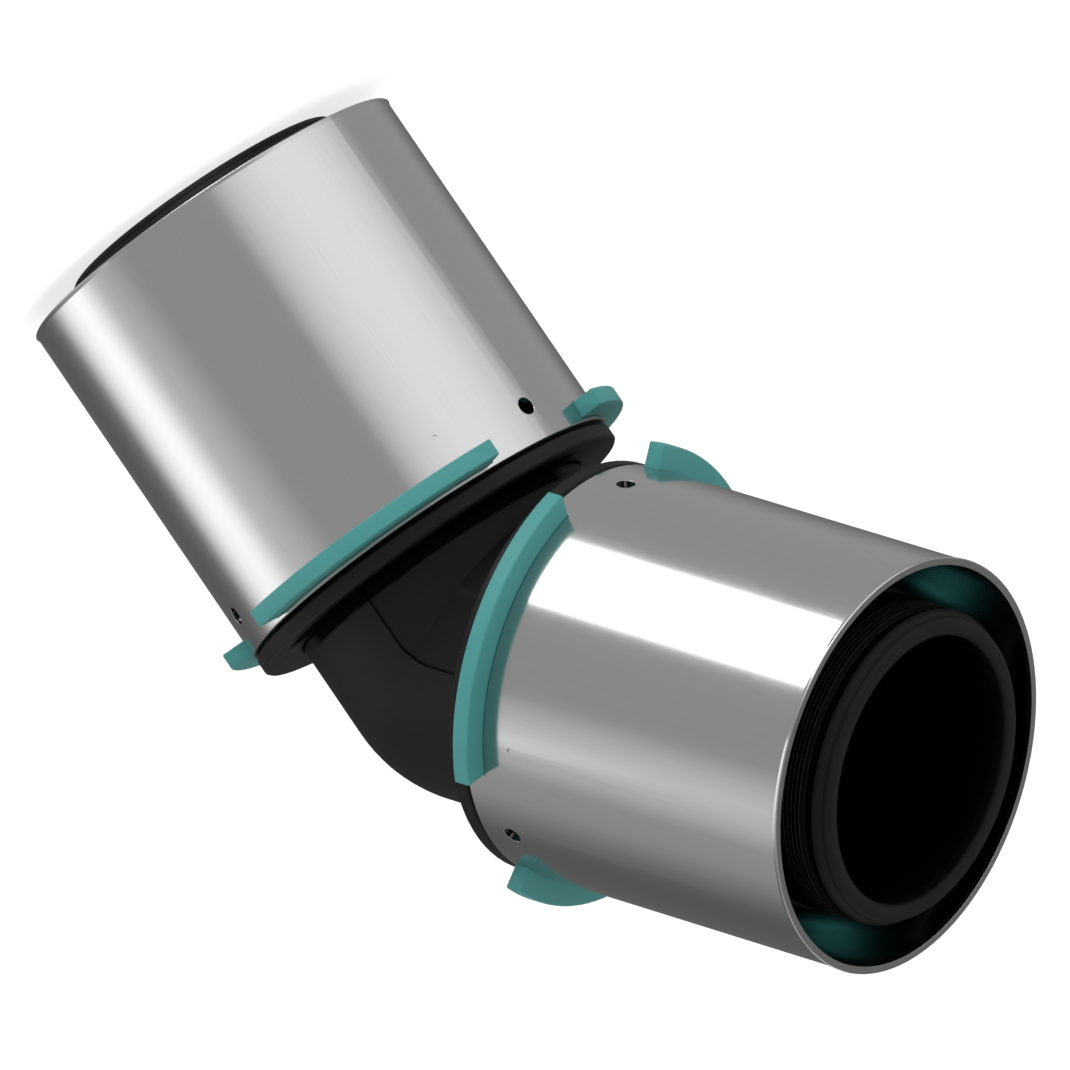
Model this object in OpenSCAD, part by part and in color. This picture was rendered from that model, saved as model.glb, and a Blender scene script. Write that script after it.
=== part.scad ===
// Press elbow for multilayer pipe: a moulded body with a spigot at each end, and round each spigot a steel press
// sleeve, held by a stop ring whose lugs stand out through slots in the sleeve. The elbow stands on spigot A.

/* [Pipe] */
// Outer diameter of the pipe that each socket takes
pipe_od = 63; // [56:1:75]
// Wall of that pipe
pipe_wall = 6; // [5:0.5:8]
// Radial clearance between the pipe and the press sleeve
pipe_play = 0.3; // [0.2:0.05:0.5]
// Radial clearance between the spigot and the pipe's bore
spigot_play = 0.3; // [0.2:0.05:0.4]

/* [Bend] */
// Angle through which the elbow turns the flow
bend_angle = 45; // [15:5:90]
// Gap in the crotch between each flange's rim and the mitre plane
crotch_gap = 2.3; // [1:0.1:8]
// Wall of the bend's tube
tube_wall = 4.5; // [4:0.1:5.5]
// Distance of the crease on the cheek from each tube's axis, towards the crotch
crease_offset = 5.6; // [3:0.1:8]
// Radius of the crease where it turns from one tube to the other
crease_radius = 8.6; // [4:0.2:12]
// Height of the small step at the crease
crease_step = 0.3; // [0.1:0.05:0.6]
// Tilt of the flat beyond the crease, from the cheek towards the crotch
flat_tilt = 25; // [20:1:32]

/* [Flange and hub] */
// Thickness of the flange behind each sleeve
flange_t = 2.65; // [2:0.05:5]
// How far the flange's rim lies inside the sleeve's outer face
flange_inset = 0.1; // [0:0.05:1]
// Rounding of the flange's two rim edges
flange_round = 0.35; // [0.1:0.05:0.9]
// Rise of the hub above the spigot, where the stop ring sits
hub_rise = 2.4; // [1.5:0.1:2.8]
// Depth of the hub's groove, which the stop ring's bead snaps into
snap_depth = 0.5; // [0.3:0.05:0.8]

/* [Spigot] */
// Wall of the spigot
spigot_wall = 3.8; // [3.4:0.1:5]
// How far the spigot stands out past the sleeve's mouth
spigot_reach = 3.2; // [1:0.1:8]
// Length of the tapered nose
nose_len = 2.4; // [1.5:0.1:4]
// Loss of radius along the nose
nose_taper = 0.9; // [0.3:0.05:1.5]
// Rounding of the nose's end, outside
nose_round = 1.1; // [0.2:0.05:1.4]
// Rounding of the waterway's mouth, inside
mouth_round = 0.9; // [0.3:0.1:1.2]
// Width of the plain groove behind the nose
nose_groove_w = 1.9; // [1:0.1:3]
// Depth of that groove and of the ridges and barbs
ridge_depth = 0.5; // [0.2:0.05:0.8]
// Number of fine ridges behind the groove
fine_ridges = 5; // [1:1:8]
// Pitch of the fine ridges
fine_pitch = 0.75; // [0.5:0.05:1]
// Length of the plain land between the fine ridges and the first O-ring
land_len = 5.25; // [3:0.25:8]
// Pitch of the barbs behind each O-ring
barb_pitch = 1.8; // [1:0.1:2.4]

/* [O-rings] */
// Thickness of the O-ring's cord
cord_d = 2.6; // [2:0.1:3]
// How far an O-ring stands proud of the spigot
cord_proud = 0.5; // [0.2:0.05:0.8]
// Distance between the two O-rings
oring_spacing = 15; // [12:0.5:18]
// Play of an O-ring in its groove, on each side
cord_play = 0.4; // [0.2:0.05:0.8]

/* [Press sleeve] */
// Length of the sleeve
sleeve_len = 60.9; // [56:0.1:75]
// Thickness of the sleeve's sheet
sleeve_t = 1.2; // [0.8:0.05:2]
// Gap between the flange and the sleeve's inner end
sleeve_gap = 0.6; // [0.3:0.05:0.9]
// Widening of the sleeve's mouth
flare = 0.2; // [0.05:0.05:0.6]
// Length of that widening
flare_len = 0.7; // [0.4:0.1:2]
// Diameter of the inspection windows
window_d = 3; // [2:0.1:5]
// Distance from the sleeve's inner end to the middle of a window
window_at = 5.95; // [5.9:0.05:10]
// Diameter of the small dimples
dimple_d = 0.7; // [0.4:0.05:1.2]
// Distance from the sleeve's inner end to a dimple
dimple_at = 8.75; // [8:0.05:14]

/* [Stop ring] */
// Number of lugs on a stop ring, and of windows and dimples in a sleeve
lugs = 3; // [2:1:5]
// Angle between two lugs, where a window lies
lug_gap = 40.5; // [34:0.5:60]
// Width of a lug along the axis
lug_w = 2.87; // [1.5:0.01:4]
// Band of sheet between the sleeve's inner end and a lug
lug_band = 0.73; // [0.5:0.01:1.5]
// How far a lug stands out of the sleeve
lug_proud = 4; // [2:0.1:6]
// Rounding of a lug's outer edges
lug_round = 0.3; // [0.1:0.05:0.5]
// Width of the ring past the lugs, up to the face that stops the pipe
stop_lip = 0.4; // [0.3:0.05:1]
// Clearance between the ring, the lugs and what is round them
ring_play = 0.1; // [0.05:0.01:0.2]
// Angle of the split that lets the ring be squeezed into the sleeve
split_span = 30; // [10:1:32]

/* [Hidden] */
$fn = 128;

// A length past every part of the bend, an overlap for clean cuts, and the bevel of sharp turned edges
beyond = 300;
overlap = 1;
edge_bevel = 0.15;

// Radii, from the pipe outwards and inwards
sleeve_in_r = pipe_od / 2 + pipe_play;
sleeve_r = sleeve_in_r + sleeve_t;
spigot_r = pipe_od / 2 - pipe_wall - spigot_play;
bore_r = spigot_r - spigot_wall;
tube_r = bore_r + tube_wall;
flange_r = sleeve_r - flange_inset;
hub_r = spigot_r + hub_rise;
ring_in_r = hub_r + ring_play;
ring_out_r = sleeve_in_r - ring_play;
lug_r = sleeve_r + lug_proud;
valley_r = spigot_r - ridge_depth;
nose_r = spigot_r - nose_taper;

// Distances along each socket's axis, from the point where the two axes meet
flange_back = flange_r * tan(bend_angle / 2) + crotch_gap;
flange_front = flange_back + flange_t;
sleeve_start = flange_front + sleeve_gap;
sleeve_end = sleeve_start + sleeve_len;
spigot_end = sleeve_end + spigot_reach;
lug_start = sleeve_start + lug_band;
lug_end = lug_start + lug_w;
ring_start = sleeve_start;
ring_end = lug_end + stop_lip;
hub_end = ring_end - ring_play;
nose_start = spigot_end - nose_len;
ridges_end = nose_start - nose_groove_w;
land_end = ridges_end - fine_ridges * fine_pitch;

// The two O-rings of a spigot, and their grooves, which leave the cord a hair of air below it
cord_lift = 0.05;
cord_mid_r = spigot_r + cord_proud - cord_d / 2;
groove_r = spigot_r + cord_proud - cord_d - cord_lift;
groove_half = cord_d / 2 + cord_play;
outer_oring_at = land_end - land_len - groove_half;
inner_oring_at = outer_oring_at - oring_spacing;

// As many barbs as the land between the grooves takes, and the same number behind the inner groove
barb_margin = 1;
barbs = floor((oring_spacing - 2 * groove_half - 2 * barb_margin) / barb_pitch);
// Share of each tooth that is its ramp
ramp_share = 0.8;

// The stop ring's bead, half way along it, and the hub's groove for it
bead_w = 1.2;
bead_play = 0.08;
bead_at = (ring_start + ring_end) / 2;
bead_h = ring_play + snap_depth - bead_play;

// The flat beyond the crease, as the distance of its plane from the tube's axis
crease_height = sqrt(tube_r * tube_r - crease_offset * crease_offset) - crease_step;
flat_dist = crease_offset * sin(flat_tilt) + crease_height * cos(flat_tilt);

// The lugs lie evenly round the socket, with the first away from the crotch, and a window in each gap
lug_turn = 360 / lugs;
lug_span = lug_turn - lug_gap;
slot_span = lug_span + 2 * ring_play / sleeve_in_r * 180 / PI;
function lug_angle(i) = 180 + i * lug_turn;
function window_angle(i) = lug_angle(i) + lug_turn / 2;
function dimple_angle(i) = lug_angle(i) + lug_turn / 4;
dimple_depth = 0.15;

// Socket A points down, and socket B leaves upwards towards +X. In a socket's own frame +Z runs outwards from the
// point where the axes meet, and +X faces the crotch.
module at_socket_a() { translate([0, 0, spigot_end]) rotate([180, 0, 0]) children(); }
module at_socket_b() { translate([0, 0, spigot_end]) rotate([0, bend_angle, 0]) children(); }

// Profile points of a groove from z = lo to z = hi, with its floor at floor_r in a wall of radius wall_r
function groove(wall_r, floor_r, lo, hi) = [[wall_r, lo], [floor_r, lo], [floor_r, hi], [wall_r, hi]];

// Profile points of teeth that end at z = end. Each ramps up towards the body and drops at once there.
function teeth(end, pitch, count) = [for (i = [count - 1 : -1 : 0]) each [
    [spigot_r, end - (i + 1) * pitch], [spigot_r, end - (i + ramp_share) * pitch], [valley_r, end - i * pitch]]];

// Barbs behind an O-ring, and the wall up to the land that the O-ring's groove lies in
function barbed(oring_at) = let (end = oring_at - groove_half - barb_margin)
    concat(teeth(end, barb_pitch, barbs), [[spigot_r, end]]);

// Profile points of a quarter circle
function arc(centre, r, a0, a1, steps = 6) = [for (i = [0 : steps])
    let (a = a0 + (a1 - a0) * i / steps) centre + r * [cos(a), sin(a)]];

// Flange, hub and spigot of one socket in one turned profile, from the flange's back out to the nose
module socket_end() {
    rotate_extrude() polygon(concat(
        [[0, flange_back], [flange_r - flange_round, flange_back]],
        [[flange_r, flange_back + flange_round], [flange_r, flange_front - flange_round]],
        [[flange_r - flange_round, flange_front], [hub_r, flange_front]],
        groove(hub_r, hub_r - snap_depth, bead_at - bead_w / 2 - bead_play, bead_at + bead_w / 2 + bead_play),
        [[hub_r, hub_end], [spigot_r, hub_end]],
        barbed(inner_oring_at),
        groove(spigot_r, groove_r, inner_oring_at - groove_half, inner_oring_at + groove_half),
        barbed(outer_oring_at),
        groove(spigot_r, groove_r, outer_oring_at - groove_half, outer_oring_at + groove_half),
        teeth(ridges_end, fine_pitch, fine_ridges),
        [[valley_r, nose_start], [spigot_r, nose_start]],
        arc([nose_r - nose_round, spigot_end - nose_round], nose_round, 0, 90),
        [[0, spigot_end]]));
}

// The rounded mouth of the waterway
module mouth() {
    rotate_extrude() polygon(concat(
        [[0, spigot_end - mouth_round]],
        arc([bore_r + mouth_round, spigot_end - mouth_round], mouth_round, 180, 90),
        [[bore_r + mouth_round, spigot_end + overlap], [0, spigot_end + overlap]]));
}

// What lies beyond the crease on this side of the mitre plane: x towards the crotch, y along the socket's axis
module crotch_outline() {
    turn_x = crease_offset + crease_radius;
    turn = [turn_x, turn_x * tan(bend_angle / 2)];
    polygon([[crease_offset, turn.y], [crease_offset, flange_back],
        [flange_back / tan(bend_angle / 2), flange_back], turn]);
    translate(turn) circle(r = crease_radius);
}

// What the flat takes off one cheek of the tube, on the side that side names: 1 or -1 along +Y
module cheek_cut(side) {
    intersection() {
        rotate([90, 0, 0]) linear_extrude(height = beyond, center = true) crotch_outline();
        rotate([0, 0, side * (90 - flat_tilt)]) translate([flat_dist, -beyond / 2, -beyond / 2]) cube(beyond);
    }
}

// Half a space, below the plane z = 0
module below() { translate([-beyond / 2, -beyond / 2, -beyond]) cube(beyond); }

// A round rod with a ball for its end
module ball_ended_rod(r, length) {
    cylinder(r = r, h = length);
    intersection() {
        sphere(r = r);
        below();
    }
}

// Half of the body in a socket's own frame, cut off square on the mitre plane
module half_body() {
    difference() {
        union() {
            difference() {
                ball_ended_rod(tube_r, flange_back + overlap);
                cheek_cut(1);
                cheek_cut(-1);
            }
            socket_end();
        }
        ball_ended_rod(bore_r, spigot_end + overlap);
        mouth();
        rotate([0, -bend_angle / 2, 0]) below();
    }
}

module elbow_body() {
    color("#1d1d20") {
        at_socket_a() half_body();
        translate([0, 0, spigot_end]) mirror([sin(bend_angle / 2), 0, cos(bend_angle / 2)])
            rotate([180, 0, 0]) half_body();
    }
}

// A drawn steel sleeve with a slightly flared mouth, a slot for each lug, and a window and a dimple in each gap
module press_sleeve() {
    mouth_r = sleeve_r + flare;
    color("#c4c6c9") difference() {
        rotate_extrude() polygon([
            [sleeve_in_r, sleeve_start], [sleeve_r - edge_bevel, sleeve_start],
            [sleeve_r, sleeve_start + edge_bevel], [sleeve_r, sleeve_end - flare_len],
            [mouth_r, sleeve_end - edge_bevel], [mouth_r - edge_bevel, sleeve_end],
            [sleeve_in_r + flare, sleeve_end], [sleeve_in_r, sleeve_end - flare_len]]);
        for (i = [0 : lugs - 1]) {
            rotate([0, 0, lug_angle(i) - slot_span / 2]) rotate_extrude(angle = slot_span)
                translate([sleeve_in_r - overlap, lug_start - ring_play])
                    square([sleeve_t + 2 * overlap, lug_w + 2 * ring_play]);
            rotate([0, 0, window_angle(i)]) translate([sleeve_in_r - overlap, 0, sleeve_start + window_at])
                rotate([0, 90, 0]) cylinder(d = window_d, h = sleeve_t + 2 * overlap);
            rotate([0, 0, dimple_angle(i)]) translate([sleeve_r - dimple_depth, 0, sleeve_start + dimple_at])
                rotate([0, 90, 0]) cylinder(d = dimple_d, h = overlap);
        }
    }
}

// A split ring that the pipe stops against, with a bead that snaps into the hub and lugs out through the sleeve
module stop_ring() {
    color("#3f8f86") {
        rotate([0, 0, window_angle(0) + split_span / 2]) rotate_extrude(angle = 360 - split_span) polygon([
            [ring_in_r, ring_start], [ring_out_r, ring_start], [ring_out_r, ring_end], [ring_in_r, ring_end],
            [ring_in_r, bead_at + bead_w / 2], [ring_in_r - bead_h, bead_at + bead_w / 4],
            [ring_in_r - bead_h, bead_at - bead_w / 4], [ring_in_r, bead_at - bead_w / 2]]);
        for (i = [0 : lugs - 1]) rotate([0, 0, lug_angle(i) - lug_span / 2]) rotate_extrude(angle = lug_span)
            polygon([[ring_out_r - overlap, lug_start], [lug_r - lug_round, lug_start],
                [lug_r, lug_start + lug_round], [lug_r, lug_end - lug_round],
                [lug_r - lug_round, lug_end], [ring_out_r - overlap, lug_end]]);
    }
}

module o_ring(at) {
    color("#101012") translate([0, 0, at]) rotate_extrude() translate([cord_mid_r, 0]) circle(d = cord_d, $fn = 32);
}

elbow_body();
at_socket_a() press_sleeve();  // press_sleeve_a
at_socket_b() press_sleeve();  // press_sleeve_b
at_socket_a() stop_ring();  // stop_ring_a
at_socket_b() stop_ring();  // stop_ring_b
at_socket_a() o_ring(outer_oring_at);  // o_ring_a_outer
at_socket_a() o_ring(inner_oring_at);  // o_ring_a_inner
at_socket_b() o_ring(outer_oring_at);  // o_ring_b_outer
at_socket_b() o_ring(inner_oring_at);  // o_ring_b_inner
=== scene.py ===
# %% [markdown]
# # A press elbow for plastic pipe
# A moulded black elbow turns a water line by 45 degrees. At each end a pipe slides over a spigot and under a steel
# sleeve, up to a teal ring, and a press tool then squeezes the sleeve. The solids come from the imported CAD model,
# which is the fixed frame of this scene. Blender adds the finishes, the light and the camera, and it makes the two
# teal rings again with Geometry Nodes, because their lugs follow a simple rule.

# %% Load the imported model
import math
import bmesh
import bpy
from mathutils import Matrix, Vector


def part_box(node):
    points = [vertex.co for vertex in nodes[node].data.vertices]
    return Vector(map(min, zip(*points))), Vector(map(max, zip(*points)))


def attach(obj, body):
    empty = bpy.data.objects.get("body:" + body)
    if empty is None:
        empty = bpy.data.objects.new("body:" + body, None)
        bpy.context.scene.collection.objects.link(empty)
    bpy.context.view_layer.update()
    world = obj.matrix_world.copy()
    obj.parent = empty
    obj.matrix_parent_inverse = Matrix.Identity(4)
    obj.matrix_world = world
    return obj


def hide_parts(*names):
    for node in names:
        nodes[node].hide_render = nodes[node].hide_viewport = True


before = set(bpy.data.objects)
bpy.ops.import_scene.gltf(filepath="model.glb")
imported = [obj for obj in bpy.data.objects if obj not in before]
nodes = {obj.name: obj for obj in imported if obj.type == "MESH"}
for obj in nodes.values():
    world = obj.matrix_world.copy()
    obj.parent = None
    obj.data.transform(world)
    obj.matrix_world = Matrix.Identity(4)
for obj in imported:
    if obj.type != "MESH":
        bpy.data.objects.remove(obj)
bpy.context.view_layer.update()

scene = bpy.context.scene
MM = 0.001
print("nodes:", ", ".join(sorted(nodes)))

# %% [markdown]
# ## The two sockets
# Both ends of the elbow are the same, so each is described once, in a frame of its own: +Z runs outwards along the
# socket's axis from the point where the two axes meet, and +X faces the crotch of the bend. Socket A points down
# to the floor, and socket B leaves upwards at 45 degrees. One matrix for each socket then puts a finished mesh, or
# a pattern, in its place.

# %% Where the sockets lie
AXES_MEET = Vector((0, 0, 83.2776)) * MM
BEND = math.radians(45)
SOCKETS = {
    "a": Matrix.Translation(AXES_MEET) @ Matrix.Rotation(math.pi, 4, "X"),
    "b": Matrix.Translation(AXES_MEET) @ Matrix.Rotation(BEND, 4, "Y"),
}


def outwards(end):
    """The direction in which a socket's axis leaves the elbow."""
    return SOCKETS[end].to_3x3() @ Vector((0, 0, 1))


for end in SOCKETS:
    print("socket", end, "runs along", [round(x, 3) for x in outwards(end)])

# %% [markdown]
# ## The camera
# The picture is a product shot through a very long lens, so the two sleeves keep their size from front to back. The
# camera is rolled, which puts socket A at the upper left. A long perspective lens is chosen over an orthographic
# camera because it keeps the slight narrowing towards the far end. Its three axes are written down as vectors,
# because a rolled camera is hard to read as Euler angles.

# %% The camera
IMAGE_RIGHT = Vector((0.5563, -0.6160, 0.5579)).normalized()
IMAGE_UP = Vector((0.4817, -0.3080, -0.8204)).normalized()
TO_CAMERA = IMAGE_RIGHT.cross(IMAGE_UP).normalized()
FRAME_WIDTH = 166.7 * MM
SENSOR = 36.0
LENS = 1000.0
DISTANCE = LENS / SENSOR * FRAME_WIDTH
AIM = AXES_MEET + (5.70 * IMAGE_RIGHT + 16.46 * IMAGE_UP) * MM


def facing(right, up, back):
    """The turn of a camera or lamp whose own axes lie along these three directions."""
    return Matrix((right, up, back)).transposed().to_4x4()


camera = bpy.data.objects.new("camera", bpy.data.cameras.new("camera"))
camera.data.lens, camera.data.sensor_width = LENS, SENSOR
camera.data.clip_start, camera.data.clip_end = 0.1, 100
camera.matrix_world = Matrix.Translation(AIM + TO_CAMERA * DISTANCE) @ facing(IMAGE_RIGHT, IMAGE_UP, TO_CAMERA)
scene.collection.objects.link(camera)
scene.camera = camera
print(f"camera {DISTANCE:.2f} m away, frame {FRAME_WIDTH / MM:.1f} mm wide")

# %% [markdown]
# ## Node trees as sums
# A finish is a small calculation over the surface, and so is a shape made with Geometry Nodes. Both are easier to
# read as sums than as long lists of links. `Wire` wraps one output socket and turns + - * / and ** into Math nodes,
# also with a plain number on the left. `Tree` makes any other node with one method: its settings go in first, and
# then the values or wires of its sockets. `dot` compares two directions. `rise` turns a measure into a mask from 0
# to 1, and most masks below are a `rise` between two places that are given in mm.

# %% Wires and trees
class Wire:
    """One output socket. Arithmetic on it adds Math nodes to its tree."""

    def __init__(self, tree, socket):
        self.tree, self.socket = tree, socket

    def _math(self, operation, first, second):
        return self.tree.node("ShaderNodeMath", {"operation": operation}, {0: first, 1: second})

    def __add__(self, other):
        return self._math("ADD", self, other)

    def __radd__(self, other):
        return self._math("ADD", other, self)

    def __sub__(self, other):
        return self._math("SUBTRACT", self, other)

    def __rsub__(self, other):
        return self._math("SUBTRACT", other, self)

    def __mul__(self, other):
        return self._math("MULTIPLY", self, other)

    def __rmul__(self, other):
        return self._math("MULTIPLY", other, self)

    def __truediv__(self, other):
        return self._math("DIVIDE", self, other)

    def __rtruediv__(self, other):
        return self._math("DIVIDE", other, self)

    def __pow__(self, other):
        return self._math("POWER", self, other)


class Tree:
    """A shader or geometry tree, emptied and ready to be built."""

    def __init__(self, tree):
        self.tree = tree
        tree.nodes.clear()

    def node(self, kind, settings=None, sockets=None, out=0):
        """Makes a node and gives one of its outputs. Sockets are named, or numbered where names repeat."""
        made = self.tree.nodes.new(kind)
        for key, value in (settings or {}).items():
            setattr(made, key, value)
        for key, value in (sockets or {}).items():
            if isinstance(value, Wire):
                self.tree.links.new(value.socket, made.inputs[key])
            else:
                made.inputs[key].default_value = value
        return Wire(self, made.outputs[out]) if len(made.outputs) else None


def dot(tree, first, second):
    """How far one vector reaches along another."""
    return tree.node("ShaderNodeVectorMath", {"operation": "DOT_PRODUCT"}, {0: first, 1: second}, out="Value")


def rise(tree, value, start, full, shape="LINEAR"):
    """A mask that is 0 up to start and 1 from full on. It falls with the value where start lies above full."""
    return tree.node("ShaderNodeMapRange", {"interpolation_type": shape}, {0: value, 1: start, 2: full})


# %% [markdown]
# ## Background and floor
# The elbow was shown on pure white. White light from all sides would wash out the steel, so the world is white only
# where the camera looks at it, or through glass. Gloss and diffuse light see the walls of a studio instead: middle
# grey, and darker on the far side, which is what gives a steel tube its darker rims. The floor works in the same
# way: most of its white is its own, and the rest is lit, so that the elbow's soft shadow stays on it.

# %% The world
WALL_GREY = 0.40
FAR_WALL_GREY = 0.10
ROOM_LIGHT = 0.91
GLOSS_WHITE = 0.04
FAR_SIDE = Vector((-0.83, -0.52, 0.20)).normalized()
FAR_WALL_SPAN = (0.46, 0.92)
WHITE = (1, 1, 1, 1)
scene.world = bpy.data.worlds.new("studio")
scene.world.use_nodes = True
world = Tree(scene.world.node_tree)
ray = {name: world.node("ShaderNodeLightPath", out=name) for name in
       ("Is Camera Ray", "Is Glossy Ray", "Is Transmission Ray", "Is Diffuse Ray")}
white_share = ray["Is Camera Ray"] + ray["Is Transmission Ray"] + GLOSS_WHITE * ray["Is Glossy Ray"]
heading = world.node("ShaderNodeTexCoord", out="Generated")
far = rise(world, dot(world, heading, FAR_SIDE), *FAR_WALL_SPAN, shape="SMOOTHSTEP")
mirrored = WALL_GREY - far * (WALL_GREY - FAR_WALL_GREY)
level = ray["Is Diffuse Ray"] * ROOM_LIGHT + (1 - ray["Is Diffuse Ray"]) * mirrored
walls = world.node("ShaderNodeBackground", None, {"Color": WHITE, "Strength": level})
white = world.node("ShaderNodeBackground", None, {"Color": WHITE, "Strength": 1.0})
sky = world.node("ShaderNodeMixShader", None, {0: white_share, 1: walls, 2: white})
world.node("ShaderNodeOutputWorld", None, {"Surface": sky})
scene.view_settings.view_transform = "Standard"
print("world: walls", WALL_GREY, "far wall", FAR_WALL_GREY, "background 1.0")

# %% The floor
FLOOR_HALF = 12.0
FLOOR_PALE = (0.8, 0.8, 0.8, 1)
OWN_WHITE = 0.55
OWN_STRENGTH = 1.4
floor_mesh = bpy.data.meshes.new("floor")
floor_mesh.from_pydata([(x * FLOOR_HALF, y * FLOOR_HALF, 0) for x, y in ((-1, -1), (1, -1), (1, 1), (-1, 1))],
                       [], [(0, 1, 2, 3)])
floor = bpy.data.objects.new("floor", floor_mesh)
scene.collection.objects.link(floor)
pale = bpy.data.materials.new("pale_floor")
pale.use_nodes = True
tree = Tree(pale.node_tree)
lit = tree.node("ShaderNodeBsdfDiffuse", None, {"Color": FLOOR_PALE})
own = tree.node("ShaderNodeEmission", None, {"Color": WHITE, "Strength": OWN_STRENGTH})
seen = tree.node("ShaderNodeLightPath", out="Is Camera Ray")
mixed = tree.node("ShaderNodeMixShader", None, {0: OWN_WHITE * seen, 1: lit, 2: own})
tree.node("ShaderNodeOutputMaterial", None, {"Surface": mixed})
floor_mesh.materials.append(pale)
floor.visible_glossy = False
floor.visible_shadow = False
print("floor", 2 * FLOOR_HALF, "m wide")

# %% [markdown]
# ## Lamps
# Steel is only as good as what it mirrors. A tube mirrors its surroundings as long bands, and a band lies where the
# surface mirrors a soft box. So each lamp is placed by the sleeve that it is for: by an angle round that sleeve's
# axis, a distance, and a shift along the axis. A wide box gives a wide band, and a narrow one a streak. Some boxes are
# evenly bright, for a band with a crisp edge, and some fade towards their long sides, for a soft one. Most of the
# light on plastic comes from the room, so the lamps' part in diffuse light is small.

# %% Soft boxes
LAMP_DIFFUSE = 0.08


def soft_box(name, end, turn, distance, shift, width, length, radiance, fade=0.0):
    """A rectangular lamp beside a sleeve. Its long side runs along the sleeve, and it faces the sleeve's axis.
    With a fade, its light falls off from its middle line to its long sides, the more steeply the larger the fade."""
    out = Matrix.Rotation(math.radians(turn), 4, "Z") @ Vector((1, 0, 0))
    along = Vector((0, 0, 1))
    lamp = bpy.data.lights.new(name, "AREA")
    lamp.shape, lamp.size, lamp.size_y = "RECTANGLE", width, length
    lamp.energy, lamp.diffuse_factor = radiance * math.pi * width * length, LAMP_DIFFUSE
    if fade:
        lamp.use_nodes = True
        tree = Tree(lamp.node_tree)
        across = tree.node("ShaderNodeSeparateXYZ", None, {0: tree.node("ShaderNodeNewGeometry", out="Parametric")})
        off_middle = across * 2 - 1
        glow = tree.node("ShaderNodeMath", {"operation": "MAXIMUM"}, {0: 1 - off_middle * off_middle, 1: 0.0}) ** fade
        light = tree.node("ShaderNodeEmission", None, {"Color": WHITE, "Strength": glow})
        tree.node("ShaderNodeOutputLight", None, {"Surface": light})
    placed = bpy.data.objects.new(name, lamp)
    own = Matrix.Translation(out * distance + along * shift) @ facing(along.cross(out), along, out)
    placed.matrix_world = SOCKETS[end] @ own
    placed.visible_camera = False
    scene.collection.objects.link(placed)
    print(f"{name}: {width:.2f} x {length:.2f} m, {lamp.energy:.2f} W")


soft_box("band_on_b", "b", turn=17, distance=0.50, shift=-0.29, width=0.36, length=0.55, radiance=4.5)
soft_box("glow_on_b", "b", turn=108, distance=0.50, shift=-0.29, width=0.46, length=0.55, radiance=0.36, fade=1.5)
soft_box("band_on_a", "a", turn=5, distance=0.50, shift=0.12, width=1.05, length=0.60, radiance=0.80, fade=1.0)
soft_box("streak_on_a", "a", turn=-144.5, distance=0.50, shift=0.31, width=0.52, length=0.50, radiance=1.15, fade=2.6)
soft_box("overhead", "a", turn=180, distance=0.60, shift=-0.70, width=0.90, length=0.90, radiance=0.5)

# %% [markdown]
# ## Finishes
# Every finish starts from the same few helpers: a pattern in millimetres on the piece's own object coordinates,
# a mix of two colours, and a rounded edge. Real edges are never quite sharp, and the thin light on them is what makes
# a part look moulded or turned. The Bevel node gives that by turning the normals near an edge, and the difference
# between its normal and the true one tells where an edge is, so that edges can be painted a little lighter: partly
# as wear where hands and tools have rubbed them, and partly as a painted highlight.

# %% Patterns, colours and edges
def finish(name):
    """A new material, its emptied tree, and the object coordinates."""
    material = bpy.data.materials.new(name)
    material.use_nodes = True
    tree = Tree(material.node_tree)
    return material, tree, tree.node("ShaderNodeTexCoord", out="Object")


def scaled(tree, vector, factors):
    return tree.node("ShaderNodeVectorMath", {"operation": "MULTIPLY"}, {0: vector, 1: factors})


def noise(tree, vector, size_mm, detail=2.0, roughness=0.5):
    """Soft noise from 0 to 1 whose spots are about size_mm wide."""
    return tree.node("ShaderNodeTexNoise", None, {"Vector": vector, "Scale": 1 / (size_mm * MM), "Detail": detail,
                                                  "Roughness": roughness})


def colour_mix(tree, share, first, second):
    return tree.node("ShaderNodeMix", {"data_type": "RGBA"}, {0: share, 6: first, 7: second}, out=2)


def bump(tree, height, depth_mm, normal=None, strength=1.0):
    sockets = {"Height": height, "Distance": depth_mm * MM, "Strength": strength}
    if normal:
        sockets["Normal"] = normal
    return tree.node("ShaderNodeBump", None, sockets)


def true_normal(tree):
    return tree.node("ShaderNodeNewGeometry", out="Normal")


def rounded_normal(tree, radius_mm, samples=4):
    """The normal as it would be if edges had this radius."""
    return tree.node("ShaderNodeBevel", {"samples": samples}, {"Radius": radius_mm * MM})


def edge_mask(tree, rounded):
    """0 away from edges, and more the further the rounded normal turns from the true one."""
    return 1 - dot(tree, rounded, true_normal(tree))


# %% [markdown]
# A dark plastic shows its form mostly by where light can't reach. Ambient Occlusion measures that: it tells how much
# of the view around a place is filled by something close. With a short reach it finds grooves, and with a long one
# the depth of a socket.

# %% How closed in a place is
def shade(tree, reach_mm, own_only=True, samples=6):
    """How much of the surroundings within reach is filled: 0 on open surface, about a half in a square corner."""
    open_share = tree.node("ShaderNodeAmbientOcclusion", {"samples": samples, "only_local": own_only},
                           {"Distance": reach_mm * MM}, out="AO")
    return 1 - open_share


# %% Handing a finish over
def output(tree, material, surface):
    tree.node("ShaderNodeOutputMaterial", None, {"Surface": surface})
    print("finish", material.name, "has", len(tree.tree.nodes), "nodes")
    return material


def close(tree, material, **sockets):
    """Ends a finish with its shader. Underscores in the names stand for spaces."""
    named = {key.replace("_", " "): value for key, value in sockets.items()}
    return output(tree, material, tree.node("ShaderNodeBsdfPrincipled", None, named))


def wear(node_name, material):
    """Gives a CAD node its finish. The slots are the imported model's, so only the material changes."""
    for slot in nodes[node_name].material_slots:
        slot.material = material
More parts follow.
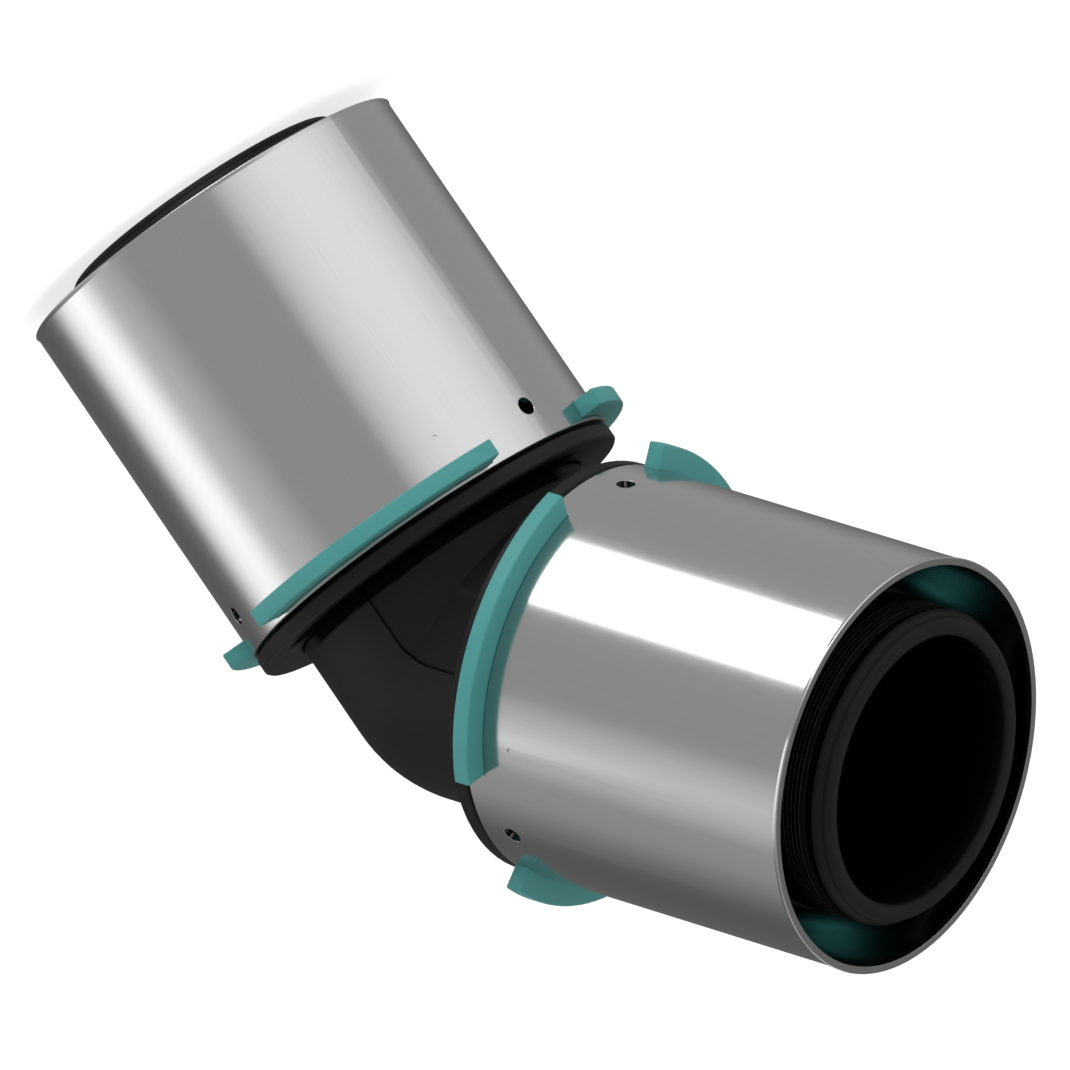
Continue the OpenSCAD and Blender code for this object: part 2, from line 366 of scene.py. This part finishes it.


# %% [markdown]
# ## The elbow's black plastic
# The body is injection moulded from a tough, glass filled plastic. Such a surface is a satin black with a very fine
# grain from the mould, slightly cloudy where the melt flowed, and a little paler on edges, partly from wear and
# partly as a painted highlight. Three sizes of noise make that: a fine one for the grain, a middle one for the gloss,
# and a wide one for the clouds.
#
# A black that is only darkened in its colour still shines in its grooves, because most of what one sees on black
# plastic is gloss. So shade is painted into grooves, corners and depths by mixing in a second shader that is black
# and has no gloss. Where it is painted depends on the place along a socket: the ridges of a spigot are painted deep
# in shade with a painted highlight on their crests, its nose gets less of the painted depth and a little painted
# shade of its own, and the neck beside a flange gets a painted shadow on the side that faces the crotch and the cheek.

# %% Places on the body
# Each pair is where a mask starts and where it is full, in mm. The first four are places along a socket's axis.
# NECK_REACH is a distance from that axis, and NECK_SHADED is how far a place lies to the side of the neck's painted
# shadow.
NECK = (13.6, 14.0)
BEHIND_FLANGE = (17.2, 16.7)
IN_SOCKET = (24.0, 25.0)
AT_NOSE = (80.4, 81.4)
NECK_REACH = (30.2, 29.6)
NECK_SHADED = (10.5, 13.5)
# The painted shadow on a neck lies on a side that looks partly to the crotch and partly to the cheek on the +Y side
TO_CROTCH, TO_CHEEK = 0.656, 0.755


def body_places(tree, at):
    """Masks for the sockets' insides, the spigots' noses, the bend up to its flanges, and the necks' painted shadow.
    """
    from_meet = tree.node("ShaderNodeVectorMath", {"operation": "SUBTRACT"}, {0: at, 1: AXES_MEET})
    reach = tree.node("ShaderNodeVectorMath", {"operation": "LENGTH"}, {0: from_meet}, out="Value") / MM
    in_socket, at_nose, behind, neck_shadow = 0.0, 0.0, 1.0, 0.0
    for end, place in SOCKETS.items():
        along = dot(tree, from_meet, outwards(end)) / MM
        from_axis = (reach * reach - along * along) ** 0.5
        in_socket = in_socket + rise(tree, along, *IN_SOCKET)
        at_nose = at_nose + rise(tree, along, *AT_NOSE)
        behind = behind * rise(tree, along, *BEHIND_FLANGE)
        # The neck's painted shadow lies on this side
        shadow_side = place.to_3x3() @ Vector((TO_CROTCH, 0, 0)) + Vector((0, TO_CHEEK, 0))
        shaded = rise(tree, dot(tree, from_meet, shadow_side) / MM, *NECK_SHADED)
        neck_shadow = neck_shadow + rise(tree, along, *NECK) * rise(tree, from_axis, *NECK_REACH) * shaded
    return in_socket, at_nose, behind, neck_shadow * behind


print("masks along each axis: neck", NECK, "socket", IN_SOCKET, "nose", AT_NOSE)

# %% Black moulded plastic
BLACK = (0.0100, 0.0100, 0.0108, 1)
CLOUDY_BLACK = (0.0132, 0.0132, 0.0143, 1)
# Paler edges, partly from wear and partly as a painted highlight
WEAR_AND_HIGHLIGHT_BLACK = (0.030, 0.030, 0.032, 1)
# A painted highlight on the crests of the ridges
LIT_CREST = (0.09, 0.09, 0.093, 1)
# The black of the painted shade
PAINTED_SHADE_BLACK = (0.0006, 0.0006, 0.0008, 1)
# How closed in a place is where a groove, a corner or a depth starts to be painted with shade, and where it is full
GROOVE_SHADE = (0.10, 0.40)
CREASE_SOONER = 0.2
CORNER_SHADE = (0.16, 0.25)
DEPTH_SHADE = (0.28, 0.72)


def moulded_black():
    material, tree, at = finish("moulded_black")
    in_socket, at_nose, behind, neck_shadow = body_places(tree, at)

    # The plastic itself, with softer edges on the noses
    rounded = rounded_normal(tree, 0.3)
    clouds = noise(tree, at, 14, 3.0)
    sheen = noise(tree, at, 2.2, 2.0)
    grain = noise(tree, at, 0.22, 2.0, 0.6)
    # Edges a little paler, partly from wear and partly as a painted highlight
    wear_and_highlight = rise(tree, edge_mask(tree, rounded) * 3.0 + clouds * 0.15, 0.15, 0.9)
    crests = rise(tree, edge_mask(tree, rounded_normal(tree, 0.12)), 0.01, 0.07)
    colour = colour_mix(tree, clouds, BLACK, CLOUDY_BLACK)
    colour = colour_mix(tree, wear_and_highlight * 0.3, colour, WEAR_AND_HIGHLIGHT_BLACK)
    # A painted highlight on the crests of the ridges, deep in the socket
    colour = colour_mix(tree, crests * in_socket * (1 - at_nose), colour, LIT_CREST)
    soft_nose = rounded_normal(tree, 1.0, 6)
    normal = tree.node("ShaderNodeMix", {"data_type": "VECTOR"}, {0: at_nose, 4: rounded, 5: soft_nose}, out=1)
    plastic = tree.node("ShaderNodeBsdfPrincipled", None, {
        "Base Color": colour, "Roughness": 0.40 + sheen * 0.12 + grain * 0.05, "Metallic": 0.0, "IOR": 1.5,
        "Specular IOR Level": 0.11, "Normal": bump(tree, grain, 0.005, normal, 0.5)})

    # Painted shade, where the light doesn't reach. On the bend a groove is full sooner, so that the shallow crease
    # shows
    grooves = rise(tree, shade(tree, 0.6), GROOVE_SHADE[0], GROOVE_SHADE[1] - behind * CREASE_SOONER)
    # Painted shade in corners, with the painted shadow on the necks
    corners = rise(tree, shade(tree, 5), *CORNER_SHADE) * (1 - behind) + neck_shadow
    # For the painted shade a socket counts as deeper than it is, and its nose and all that lies outside it as less
    # deep
    filled = shade(tree, 60, False, 8) + in_socket * 0.25 - at_nose * 0.15 - (1 - in_socket) * 0.42
    depths = rise(tree, filled, *DEPTH_SHADE)
    # The share that stays lit. The rest is painted shade; the crests keep a painted highlight, and the nose is painted
    # a little darker
    lit = (1 - grooves * (1 - at_nose) * 0.95) * (1 - corners * 0.9)
    lit = lit * (1 - depths * (0.97 - crests * 0.9)) * (1 - at_nose * 0.15)
    # The painted shade is a black without gloss
    painted_shade = tree.node("ShaderNodeBsdfDiffuse", None, {"Color": PAINTED_SHADE_BLACK})
    return output(tree, material, tree.node("ShaderNodeMixShader", None, {0: lit, 1: painted_shade, 2: plastic}))


wear("elbow_body", moulded_black())

# %% [markdown]
# ## The sleeves' steel
# A press sleeve is cut from thin stainless tube, and its satin skin keeps faint lines along the axis from drawing.
# The lines are noise that is stretched some eighty times along the axis. They need the sleeve's own axis, so a
# Mapping node turns the pattern into the socket's frame, and each sleeve gets its own copy of the finish. The cut
# ends and the long walls of the slots are duller and darker than the skin, and the normal finds them: there it
# points along the axis. At the inner end, beside the flange, the mask takes in the rounding of the rim too, as
# painted shade, and a height keeps that wider mask off the slots. Edges are a little paler, partly from wear and
# partly as a painted highlight.

# %% Drawn stainless steel
STEEL = (0.54, 0.543, 0.548, 1)
STEEL_LINE = (0.60, 0.602, 0.606, 1)
# Cut faces are darker and duller, and at the inner end, beside the flange, the darker colour is painted shade
CUT_AND_SHADE_STEEL = (0.13, 0.13, 0.135, 1)
# Paler edges, partly from wear and partly as a painted highlight
WEAR_AND_HIGHLIGHT_STEEL = (0.75, 0.75, 0.75, 1)
# Where a cut starts and where it is full: in the tilt's square, and for the painted shade at the inner end in its
# tilt and its height
CUT_TILT = (0.70, 0.95)
INNER_TILT = (-0.20, -0.60)
INNER_END = (19.9, 19.6)
# The pattern's coordinates shrink by this along the axis, which draws the noise out into lines
LINE_SHRINK = 0.012


def socket_coordinates(tree, at, end):
    """The object coordinates, turned into a socket's own frame."""
    own_frame = SOCKETS[end].inverted()
    return tree.node("ShaderNodeMapping", None, {"Vector": at, "Location": own_frame.translation,
                                                 "Rotation": own_frame.to_euler()})


def drawn_steel(end):
    material, tree, at = finish("drawn_steel_" + end)
    at = socket_coordinates(tree, at, end)
    rounded = rounded_normal(tree, 0.15)
    lines = noise(tree, scaled(tree, at, (1, 1, LINE_SHRINK)), 0.16, 3.0, 0.6)
    handled = noise(tree, at, 16, 3.0, 0.55)
    speckle = noise(tree, at, 0.5, 2.0)
    tilt = dot(tree, true_normal(tree), outwards(end))
    height = tree.node("ShaderNodeSeparateXYZ", None, {0: at}, out="Z") / MM
    # At the inner end the rounding of the rim is painted darker, as shade beside the flange
    inner_end_shade = rise(tree, tilt, *INNER_TILT) * rise(tree, height, *INNER_END)
    cut_and_shade = 1 - (1 - rise(tree, tilt * tilt, *CUT_TILT)) * (1 - inner_end_shade)
    colour = colour_mix(tree, lines, STEEL, STEEL_LINE)
    colour = colour_mix(tree, cut_and_shade * 0.65, colour, CUT_AND_SHADE_STEEL)
    # Edges a little paler, partly from wear and partly as a painted highlight
    colour = colour_mix(tree, rise(tree, edge_mask(tree, rounded), 0.025, 0.225) * 0.15, colour, WEAR_AND_HIGHLIGHT_STEEL)
    gloss = 0.105 + lines * 0.03 + handled * 0.04 + speckle * 0.01 + cut_and_shade * 0.2
    return close(tree, material, Base_Color=colour, Metallic=1.0, Roughness=gloss,
                 Normal=bump(tree, lines, 0.0004, rounded, 0.4))


for end in SOCKETS:
    wear("press_sleeve_" + end, drawn_steel(end))

# %% [markdown]
# ## The seals' rubber
# The O-rings sit in their grooves under the pipe, and only the gap of the socket shows them. Rubber is dull and
# dark, with a trace of the talc it is packed in.

# %% Seal rubber
RUBBER = (0.008, 0.008, 0.008, 1)
TALC = (0.045, 0.045, 0.044, 1)


def seal_rubber():
    material, tree, at = finish("seal_rubber")
    talc = rise(tree, noise(tree, at, 1.2, 4.0, 0.65), 0.52, 0.72)
    grain = noise(tree, at, 0.12, 2.0)
    return close(tree, material, Base_Color=colour_mix(tree, talc * 0.35, RUBBER, TALC), Metallic=0.0,
                 Roughness=0.55 + talc * 0.2, Normal=bump(tree, grain, 0.01))


rubber = seal_rubber()
for name in sorted(nodes):
    if name.startswith("o_ring"):
        wear(name, rubber)

# %% [markdown]
# ## The teal stop rings
# The ring is a split band of coloured plastic with three lugs that stand out through the sleeve. Its shape follows a
# rule: one section swept along an arc, and one lug repeated at even turns. Geometry Nodes suit that, because the
# sizes stay named inputs that can be changed later. Each section is a small rectangle, and Curve to Mesh sweeps it.

# %% The ring's sizes, in mm
RING = {"Inner radius": 27.7, "Outer radius": 31.7, "Start": 19.178, "End": 23.178, "Split": 30.0}
LUG = {"Lug radius": 36.99, "Lug start": 19.908, "Lug end": 22.778, "Lug gap": 40.5, "Lug rounding": 0.3}
BEAD = {"Bead height": 0.52, "Bead width": 1.2}
LUGS = 3
print("ring", RING, LUG, BEAD)

# %% [markdown]
# The plastic is evenly coloured, with a fine grain and slightly paler edges, partly worn and partly a painted
# highlight. Two things need the ring's place. In the gap beside the flange and behind the windows hardly any light
# gets in, and occlusion with a reach of 3 mm paints shade there. And deep in a socket a glow is painted on the
# ring's mouth face behind each lug. A wave round the axis, with one crest for each lug, and the height and radius of
# that face say where. The painted glow is a faint emission, and each ring has a copy of the finish because the wave
# needs the ring's own axis.

# %% The plastic of the rings
TEAL = (0.056, 0.247, 0.237, 1)
CLOUDY_TEAL = (0.065, 0.271, 0.260, 1)
# Paler edges, partly from wear and partly as a painted highlight
WEAR_AND_HIGHLIGHT_TEAL = (0.10, 0.34, 0.31, 1)
# The painted shade in the gap and behind the windows
PAINTED_SHADE_TEAL = (0.001, 0.003, 0.003, 1)
# A painted glow behind the lugs
PAINTED_GLOW_TEAL = (0.05, 0.26, 0.25, 1)
HIDDEN_SHADE = (0.58, 0.82)
INNER_GLOW = 0.8
# Where the painted glow starts and where it is full: on the wave, and in mm from the axis and along it
GLOW_WAVE = (0.60, 1.0)
GLOW_RADIUS = (31.72, 31.5)
MOUTH_FACE = (22.8, 23.0)


def behind_lugs(tree, at):
    """A mask for the painted glow on the ring's mouth face, full in the middle of each lug.
    It takes the ring's own coordinates.
    """
    x, y, z = (tree.node("ShaderNodeSeparateXYZ", None, {0: at}, out=axis) for axis in "XYZ")
    angle = tree.node("ShaderNodeMath", {"operation": "ARCTAN2"}, {0: y, 1: x})
    wave = tree.node("ShaderNodeMath", {"operation": "COSINE"}, {0: (angle - math.pi) * LUGS})
    flat = scaled(tree, at, (1, 1, 0))
    from_axis = tree.node("ShaderNodeVectorMath", {"operation": "LENGTH"}, {0: flat}, out="Value") / MM
    on_face = rise(tree, from_axis, *GLOW_RADIUS) * rise(tree, z / MM, *MOUTH_FACE)
    return rise(tree, wave, *GLOW_WAVE) * on_face


def teal_plastic(end):
    material, tree, at = finish("teal_plastic_" + end)
    rounded = rounded_normal(tree, 0.25)
    flow = noise(tree, at, 9, 3.0)
    grain = noise(tree, at, 0.18, 2.0, 0.6)
    colour = colour_mix(tree, flow, TEAL, CLOUDY_TEAL)
    # Edges a little paler, partly from wear and partly as a painted highlight
    colour = colour_mix(tree, rise(tree, edge_mask(tree, rounded) * 3.0, 0.1, 0.9) * 0.3, colour, WEAR_AND_HIGHLIGHT_TEAL)
    # Painted shade in the gap beside the flange and behind the windows
    colour = colour_mix(tree, rise(tree, shade(tree, 3, False, 8), *HIDDEN_SHADE) * 0.95, colour, PAINTED_SHADE_TEAL)
    # A painted glow on the mouth face behind each lug
    glow = colour_mix(tree, behind_lugs(tree, socket_coordinates(tree, at, end)), (0, 0, 0, 1), PAINTED_GLOW_TEAL)
    return close(tree, material, Base_Color=colour, Roughness=0.46 + grain * 0.12, Metallic=0.0, IOR=1.46,
                 Specular_IOR_Level=0.28, Emission_Color=glow, Emission_Strength=INNER_GLOW,
                 Normal=bump(tree, grain, 0.006, rounded, 0.6))


teal = {end: teal_plastic(end) for end in SOCKETS}

# %% [markdown]
# The tree has the ring's sizes as named inputs, in mm, so it multiplies them by `MM` where a node wants metres. A lug
# is sunk a little into the band, and the bead is centred on the band's inner face, so that each joins it without a
# gap. The lugs are one shape on as many points as there are lugs, and each point's index gives its turn.

# %% The tree that makes a ring
DEGREE = math.pi / 180
RING_STEPS, LUG_STEPS = 129, 33
LUG_SUNK = 1.0
BEAD_FACE, BEAD_ROUNDING = 0.75, 0.2


def swept(tree, mid_radius, first_angle, sweep, steps, section):
    """A section carried along an arc about +Z, with its ends closed."""
    path = tree.node("GeometryNodeCurveArc", {"mode": "RADIUS"}, {
        "Resolution": steps, "Radius": mid_radius, "Start Angle": first_angle, "Sweep Angle": sweep})
    upright = tree.node("GeometryNodeSetCurveNormal", {"mode": "Z_UP"}, {"Curve": path})
    return tree.node("GeometryNodeCurveToMesh", None, {
        "Curve": upright, "Profile Curve": section, "Fill Caps": True})


def rectangle(tree, width, height):
    return tree.node("GeometryNodeCurvePrimitiveQuadrilateral", {"mode": "RECTANGLE"},
                     {"Width": width, "Height": height})


def rounded_off(tree, curve, radius, count):
    return tree.node("GeometryNodeFilletCurve", {"mode": "POLY"}, {"Curve": curve, "Radius": radius, "Count": count})


def lifted(tree, geometry, height):
    offset = tree.node("ShaderNodeCombineXYZ", None, {"Z": height})
    return tree.node("GeometryNodeTransform", None, {"Geometry": geometry, "Translation": offset})


def ring_tree():
    group = bpy.data.node_groups.new("split_ring_with_lugs", "GeometryNodeTree")
    group.interface.new_socket(name="Geometry", in_out="OUTPUT", socket_type="NodeSocketGeometry")
    for name, value in {**RING, **LUG, **BEAD}.items():
        group.interface.new_socket(name=name, in_out="INPUT", socket_type="NodeSocketFloat").default_value = value
    group.interface.new_socket(name="Lugs", in_out="INPUT", socket_type="NodeSocketInt").default_value = LUGS
    group.interface.new_socket(name="Plastic", in_out="INPUT", socket_type="NodeSocketMaterial")
    tree = Tree(group)
    given = group.nodes.new("NodeGroupInput")
    size = {s.name: Wire(tree, s) for s in given.outputs if s.name}
    middle = (size["Start"] + size["End"]) * (MM / 2)

    # The band, open at the split, which lies opposite the middle of the lugs' first gap
    first = math.pi + math.pi / size["Lugs"] + size["Split"] * (DEGREE / 2)
    sweep = 2 * math.pi - size["Split"] * DEGREE
    band = rectangle(tree, (size["Outer radius"] - size["Inner radius"]) * MM, (size["End"] - size["Start"]) * MM)
    mid_radius = (size["Outer radius"] + size["Inner radius"]) * (MM / 2)
    ring = lifted(tree, swept(tree, mid_radius, first, sweep, RING_STEPS, band), middle)

    # The bead inside it, which snaps into the elbow's hub
    bead = rectangle(tree, size["Bead height"] * (2 * MM), size["Bead width"] * (MM * BEAD_FACE))
    bead = rounded_off(tree, bead, BEAD_ROUNDING * MM, 3)
    bead = lifted(tree, swept(tree, size["Inner radius"] * MM, first, sweep, RING_STEPS, bead), middle)

    # One lug, then the same lug at even turns
    lug = rectangle(tree, (size["Lug radius"] - size["Outer radius"] + LUG_SUNK) * MM,
                    (size["Lug end"] - size["Lug start"]) * MM)
    lug = rounded_off(tree, lug, size["Lug rounding"] * MM, 4)
    span = 2 * math.pi / size["Lugs"] - size["Lug gap"] * DEGREE
    mid_radius = (size["Lug radius"] + size["Outer radius"] - LUG_SUNK) * (MM / 2)
    lug = swept(tree, mid_radius, math.pi - span / 2, span, LUG_STEPS, lug)
    lug = lifted(tree, lug, (size["Lug start"] + size["Lug end"]) * (MM / 2))
    points = tree.node("GeometryNodePoints", None, {"Count": size["Lugs"]})
    angle = tree.node("GeometryNodeInputIndex") * (2 * math.pi / size["Lugs"])
    turn = tree.node("ShaderNodeCombineXYZ", None, {"Z": angle})
    lugs = tree.node("GeometryNodeInstanceOnPoints", None, {"Points": points, "Instance": lug, "Rotation": turn})

    joined = tree.node("GeometryNodeJoinGeometry")
    for part in (ring, bead, lugs):
        group.links.new(part.socket, joined.socket.node.inputs[0])
    solid = tree.node("GeometryNodeRealizeInstances", None, {"Geometry": joined})
    solid = tree.node("GeometryNodeSetMaterial", None, {"Geometry": solid, "Material": size["Plastic"]})
    tree.node("NodeGroupOutput", None, {"Geometry": solid})
    return group


rings = ring_tree()
print("ring tree has", len(rings.nodes), "nodes")

# %% [markdown]
# The tree's result becomes a plain mesh. A Bevel modifier rounds the sharp edges a little first, because a moulded
# edge has a radius that catches the light. The mesh is then put into its socket's frame, and the object itself stays
# at the origin, as the CAD nodes do.

# %% Make the two rings
EDGE_RADIUS = 0.12 * MM
EDGE_ANGLE = math.radians(50)
SHARP_ANGLE = math.radians(35)
MERGE_DISTANCE = 1e-6


def make_ring(end):
    name = "teal_ring_" + end
    given = {"Lugs": LUGS, "Plastic": teal[end]}
    maker = bpy.data.objects.new("maker", bpy.data.meshes.new("maker"))
    scene.collection.objects.link(maker)
    shape = maker.modifiers.new("shape", "NODES")
    shape.node_group = rings
    for socket in rings.interface.items_tree:
        if socket.in_out == "INPUT" and socket.name in given:
            shape[socket.identifier] = given[socket.name]
    soften = maker.modifiers.new("soften", "BEVEL")
    soften.width, soften.segments, soften.limit_method = EDGE_RADIUS, 2, "ANGLE"
    soften.angle_limit = EDGE_ANGLE
    mesh = bpy.data.meshes.new_from_object(maker.evaluated_get(bpy.context.evaluated_depsgraph_get()))
    bpy.data.objects.remove(maker)
    mesh.transform(SOCKETS[end])
    work = bmesh.new()
    work.from_mesh(mesh)
    bmesh.ops.remove_doubles(work, verts=work.verts, dist=MERGE_DISTANCE)
    bmesh.ops.recalc_face_normals(work, faces=work.faces)
    work.to_mesh(mesh)
    work.free()
    mesh.name = name
    mesh.shade_smooth()
    mesh.set_sharp_from_angle(angle=SHARP_ANGLE)
    ring = bpy.data.objects.new(name, mesh)
    scene.collection.objects.link(ring)
    return ring


for end in SOCKETS:
    ring = make_ring(end)
    places = [vertex.co for vertex in ring.data.vertices]
    made = [pick(place[i] for place in places) for pick in (min, max) for i in range(3)]
    meant = [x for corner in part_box("stop_ring_" + end) for x in corner]
    print(ring.name, len(ring.data.polygons), "faces, off the CAD ring's box by mm:",
          [round((a - b) / MM, 2) for a, b in zip(made, meant)])
    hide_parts("stop_ring_" + end)
    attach(ring, "root")

# %% [markdown]
# ## The end
# The view layer is brought up to date. The dressed model may not be larger than the CAD model.

# %% The end
bpy.context.view_layer.update()
